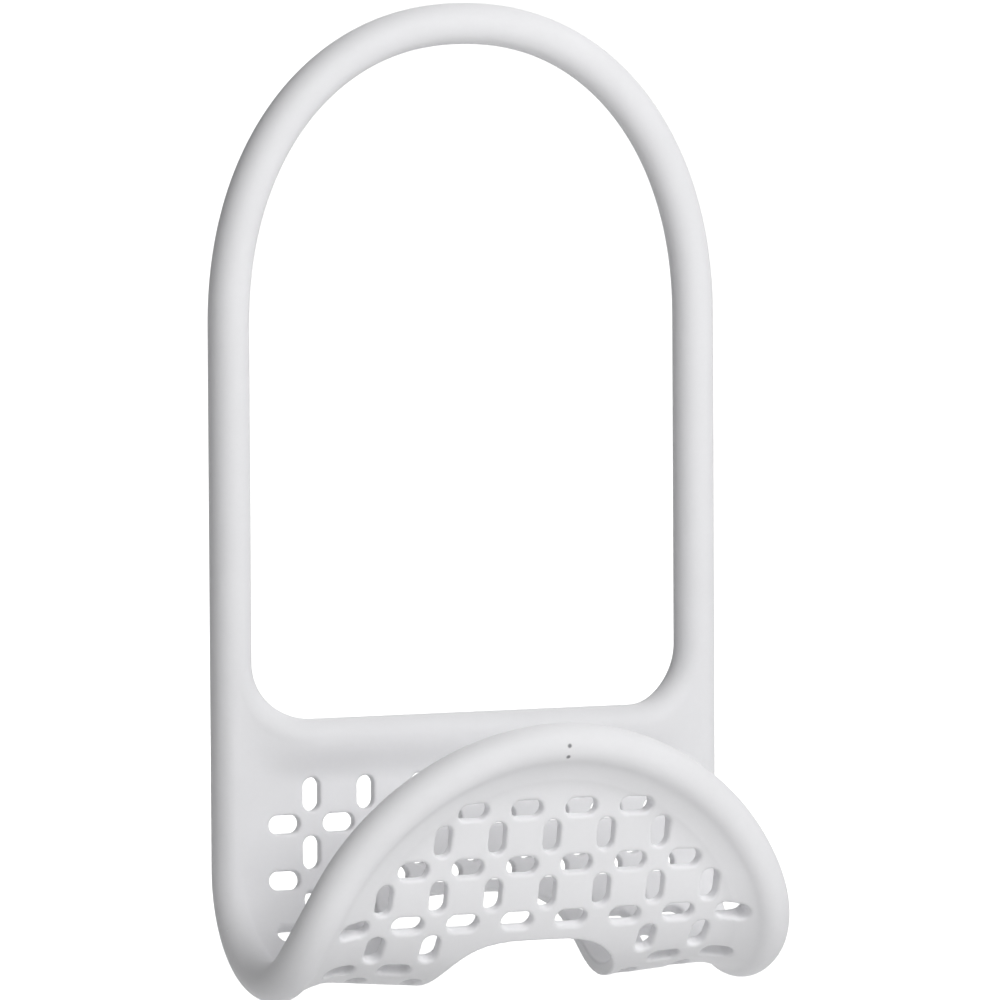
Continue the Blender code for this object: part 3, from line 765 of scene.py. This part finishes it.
def make_loop(finish):
    """The swept bar, parted into the loop, the bends of the legs and the links between them."""
    holder = line_object("loop_holder", [[(0, 0, 0), (0, 0, 0.001)]])
    bar = run_tree(holder, loop_tree(), {
        "Half spacing": HALF_SPACING, "Arch rise": ARCH_RISE, "Arch power": ARCH_POWER,
        "Spring height": Z_SPRING, "Leg length": LOWER_BEND[1], "Leg share": LEG_SHARE,
        "Section radius": SECTION_R, "Ring step": RING_STEP, "Sides": RING_SIDES, "Material": finish})
    bpy.data.objects.remove(holder)
    cuts = [Z_SPRING - drop for drop in (*UPPER_BEND, LOWER_BEND[0])]
    score(bar, [(Vector((0, 0, z)), Vector((0, 0, 1)), BAR_CUT_REACH) for z in cuts])
    centre = face_centres(bar)
    stretch = np.digitize(-centre[:, 2], [-z for z in cuts])
    left = centre[:, 0] < 0
    loop = finish_piece(take(bar, stretch == 0, "hanging_loop"), finish,
                        "loop_crown", "left_shoulder", "right_shoulder")
    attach(loop, "loop")
    for side, on_side in (("left", left), ("right", ~left)):
        upper = finish_piece(take(bar, (stretch == 1) & on_side, side + "_upper_bend"), finish,
                             side + "_leg_upper_flex")
        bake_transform(upper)
        link = finish_piece(take(bar, (stretch == 2) & on_side, side + "_link"), finish,
                            side + "_leg_link")
        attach(link, "leg_link")
        lower = finish_piece(take(bar, (stretch == 3) & on_side, side + "_lower_bend"), finish,
                             side + "_leg_lower_flex")
        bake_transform(lower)


# Finish

def mark_places():
    """Middles of the two mould marks, on the skin of the rim."""
    top = FLAP_TAPER_START + FLAP_RISE
    return [path_point(top) + SECTION_R * (cos(a) * path_outward(top) + sin(a) * path_along(top))
            for a in MARK_ANGLES]


def moulded_elastomer():
    """Thermoplastic elastomer, injection moulded in a lightly blasted tool.

    To the eye: an off-white that swallows highlights and darkens softly towards its edges,
    with a fine even grain and faint patches where it has been handled.
    """
    finish = bpy.data.materials.new("moulded_tpe_blasted_white")
    finish.use_nodes = True
    tree = finish.node_tree
    shader = tree.nodes["Principled BSDF"]
    spot = add_node(tree, "ShaderNodeTexCoord")
    # flow of the melt: drifts of tone 25 mm wide, and specks of 1.2 mm
    drift = add_node(tree, "ShaderNodeTexNoise", {
        "Vector": spot.outputs["Object"], "Scale": 40.0, "Detail": 3.0, "Roughness": 0.5})
    speck = add_node(tree, "ShaderNodeTexNoise", {
        "Vector": spot.outputs["Object"], "Scale": 830.0, "Detail": 2.0, "Roughness": 0.6})
    mixed = add_node(tree, "ShaderNodeMath", {0: speck, 1: 0.35, 2: drift}, operation="MULTIPLY_ADD")
    share = add_node(tree, "ShaderNodeMapRange", {"Value": mixed, "From Min": 0.45, "From Max": 0.95})
    tone = add_node(tree, "ShaderNodeMix", {
        0: share, 6: linear("#F1F1F3"), 7: linear("#F5F5F7")}, data_type="RGBA")
    # the two marks are shallow pits with soft edges; their grey is painted shade inside the pits
    marks = [add_node(tree, "ShaderNodeVectorMath", {0: spot.outputs["Object"], 1: place},
                      operation="DISTANCE").outputs["Value"] for place in mark_places()]
    nearest = add_node(tree, "ShaderNodeMath", {0: marks[0], 1: marks[1]}, operation="MINIMUM")
    pit_depth_and_painted_shade = add_node(tree, "ShaderNodeMapRange", {
        "Value": nearest, "From Min": 0.5 * MARK_R, "From Max": 1.5 * MARK_R, "To Min": 1.0, "To Max": 0.0},
        interpolation_type="SMOOTHSTEP")
    # painted shade: the pits' grey stands for the shadow inside them
    tone = add_node(tree, "ShaderNodeMix", {
        0: pit_depth_and_painted_shade, 6: tone.outputs[2], 7: linear("#8B8B8E")}, data_type="RGBA")
    tree.links.new(tone.outputs[2], shader.inputs["Base Color"])
    # handled patches are a little smoother
    rough = add_node(tree, "ShaderNodeMapRange", {
        "Value": drift, "From Min": 0.3, "From Max": 0.7, "To Min": 0.57, "To Max": 0.66})
    tree.links.new(rough.outputs[0], shader.inputs["Roughness"])
    # blasted grain: real grains of 0.15 mm are drawn 0.4 mm wide so that they show
    grain = add_node(tree, "ShaderNodeTexNoise", {
        "Vector": spot.outputs["Object"], "Scale": 2500.0, "Detail": 1.0, "Roughness": 0.5})
    sink = add_node(tree, "ShaderNodeTexNoise", {
        "Vector": spot.outputs["Object"], "Scale": 90.0, "Detail": 1.0, "Roughness": 0.4})
    relief = add_node(tree, "ShaderNodeMath", {0: sink, 1: 6.0, 2: grain}, operation="MULTIPLY_ADD")
    relief = add_node(tree, "ShaderNodeMath", {0: pit_depth_and_painted_shade, 1: -8.0, 2: relief}, operation="MULTIPLY_ADD")
    bump = add_node(tree, "ShaderNodeBump", {"Height": relief, "Strength": 0.35, "Distance": 0.00002})
    tree.links.new(bump.outputs["Normal"], shader.inputs["Normal"])
    shader.inputs["IOR"].default_value = 1.41
    return finish


# Studio

CAMERA_AZIMUTH = radians(-23.537)
CAMERA_ELEVATION = radians(3.974)
CAMERA_ROLL = radians(-0.3)
CAMERA_DISTANCE = 3.0
CAMERA_TARGET = Vector((0.01177, 0.0, -0.13615))
FOCAL_IN_PIXELS = 10049.855
PICTURE_PIXELS = 1000
SENSOR_WIDTH = 36.0

# Lamps: azimuth and elevation in degrees, distance, size, watts; all aim at one point
LAMP_AIM = Vector((0, -0.03, -0.14))
AMBIENT = 0.09
KEY = (14, 31, 1.6, 0.9, 13.4)
FRONT = (-15, 26, 1.6, 0.9, 4.2)
SIDE = (105, 55, 1.6, 0.9, 5.2)
BACK = (150, 35, 1.6, 0.9, 4.0)
FLOOR_TONE = "#EEEEEE"
FLOOR_LIFT = 0.60
FLOOR_FADE = (0.35, 1.1)
FLOOR_DROP = 0.05
FLOOR_SIZE = 30.0


def make_camera():
    az, el = CAMERA_AZIMUTH, CAMERA_ELEVATION
    ahead = Vector((-sin(az) * cos(el), cos(az) * cos(el), -sin(el)))
    right = Vector((cos(az), sin(az), 0))
    up = right.cross(ahead)
    c, s = cos(CAMERA_ROLL), sin(CAMERA_ROLL)
    right, up = c * right + s * up, c * up - s * right
    data = bpy.data.cameras.new("camera")
    data.sensor_width = SENSOR_WIDTH
    data.lens = FOCAL_IN_PIXELS / PICTURE_PIXELS * SENSOR_WIDTH
    data.clip_start, data.clip_end = 0.1, 100
    camera = add_object("camera", data)
    frame = Matrix((right, up, -ahead)).transposed().to_4x4()
    frame.translation = CAMERA_TARGET - ahead * CAMERA_DISTANCE
    camera.matrix_world = frame
    bpy.context.scene.camera = camera


def add_softbox(name, azimuth, elevation, distance, size, power):
    """Square lamp aimed at the middle of the object; azimuth 0 is the front, positive to the right."""
    data = bpy.data.lights.new(name, "AREA")
    data.shape = "SQUARE"
    data.size = size
    data.energy = power
    lamp = add_object(name, data)
    az, el = radians(azimuth), radians(elevation)
    lamp.location = LAMP_AIM + distance * Vector((sin(az) * cos(el), -cos(az) * cos(el), sin(el)))
    lamp.rotation_euler = (LAMP_AIM - lamp.location).to_track_quat("-Z", "Y").to_euler()


def seen_rays(tree):
    """1 for the rays that show the background itself: to the camera, in gloss and in glass."""
    path = add_node(tree, "ShaderNodeLightPath")
    seen = add_node(tree, "ShaderNodeMath", {
        0: path.outputs["Is Camera Ray"], 1: path.outputs["Is Glossy Ray"]}, operation="MAXIMUM")
    return add_node(tree, "ShaderNodeMath", {0: seen, 1: path.outputs["Is Transmission Ray"]},
                    operation="MAXIMUM")


def make_studio():
    world = bpy.data.worlds.new("studio")
    bpy.context.scene.world = world
    world.use_nodes = True
    tree = world.node_tree
    tree.nodes.clear()
    lit = add_node(tree, "ShaderNodeBackground", {"Color": (1, 1, 1, 1), "Strength": AMBIENT})
    white = add_node(tree, "ShaderNodeBackground", {"Color": (1, 1, 1, 1), "Strength": 1.0})
    sky = add_node(tree, "ShaderNodeMixShader", {0: seen_rays(tree), 1: lit, 2: white})
    add_node(tree, "ShaderNodeOutputWorld", {"Surface": sky})

    paper = bpy.data.materials.new("white_paper_floor")
    paper.use_nodes = True
    tree = paper.node_tree
    shader = tree.nodes["Principled BSDF"]
    spot = add_node(tree, "ShaderNodeTexCoord")
    fibre = add_node(tree, "ShaderNodeTexNoise", {"Vector": spot.outputs["Object"], "Scale": 400.0})
    bump = add_node(tree, "ShaderNodeBump", {"Height": fibre, "Strength": 0.1, "Distance": 0.0002})
    tree.links.new(bump.outputs["Normal"], shader.inputs["Normal"])
    shader.inputs["Base Color"].default_value = linear(FLOOR_TONE)
    shader.inputs["Roughness"].default_value = 0.9
    # the paper runs out to plain white away from the object's shadow
    away = add_node(tree, "ShaderNodeVectorMath", {0: spot.outputs["Object"]}, operation="LENGTH")
    away = add_node(tree, "ShaderNodeMapRange", {
        "Value": away.outputs["Value"], "From Min": FLOOR_FADE[0], "From Max": FLOOR_FADE[1],
        "To Min": FLOOR_LIFT, "To Max": 1.0}, interpolation_type="SMOOTHSTEP")
    lift = add_node(tree, "ShaderNodeMath", {0: seen_rays(tree), 1: away}, operation="MULTIPLY")
    shader.inputs["Emission Color"].default_value = (1, 1, 1, 1)
    tree.links.new(lift.outputs[0], shader.inputs["Emission Strength"])
    sheet = bmesh.new()
    bmesh.ops.create_grid(sheet, x_segments=2, y_segments=2, size=FLOOR_SIZE)
    mesh = bpy.data.meshes.new("floor")
    sheet.to_mesh(mesh)
    sheet.free()
    mesh.transform(Matrix.Translation((0, 0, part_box("left_floor")[0].z - FLOOR_DROP)))
    mesh.materials.append(paper)
    add_object("floor", mesh)

    add_softbox("key", *KEY)
    add_softbox("front", *FRONT)
    add_softbox("side", *SIDE)
    add_softbox("back", *BACK)


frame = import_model()
finish = moulded_elastomer()
make_loop(finish)
make_sling(finish)
make_camera()
make_studio()
bpy.context.scene.view_settings.view_transform = "Standard"
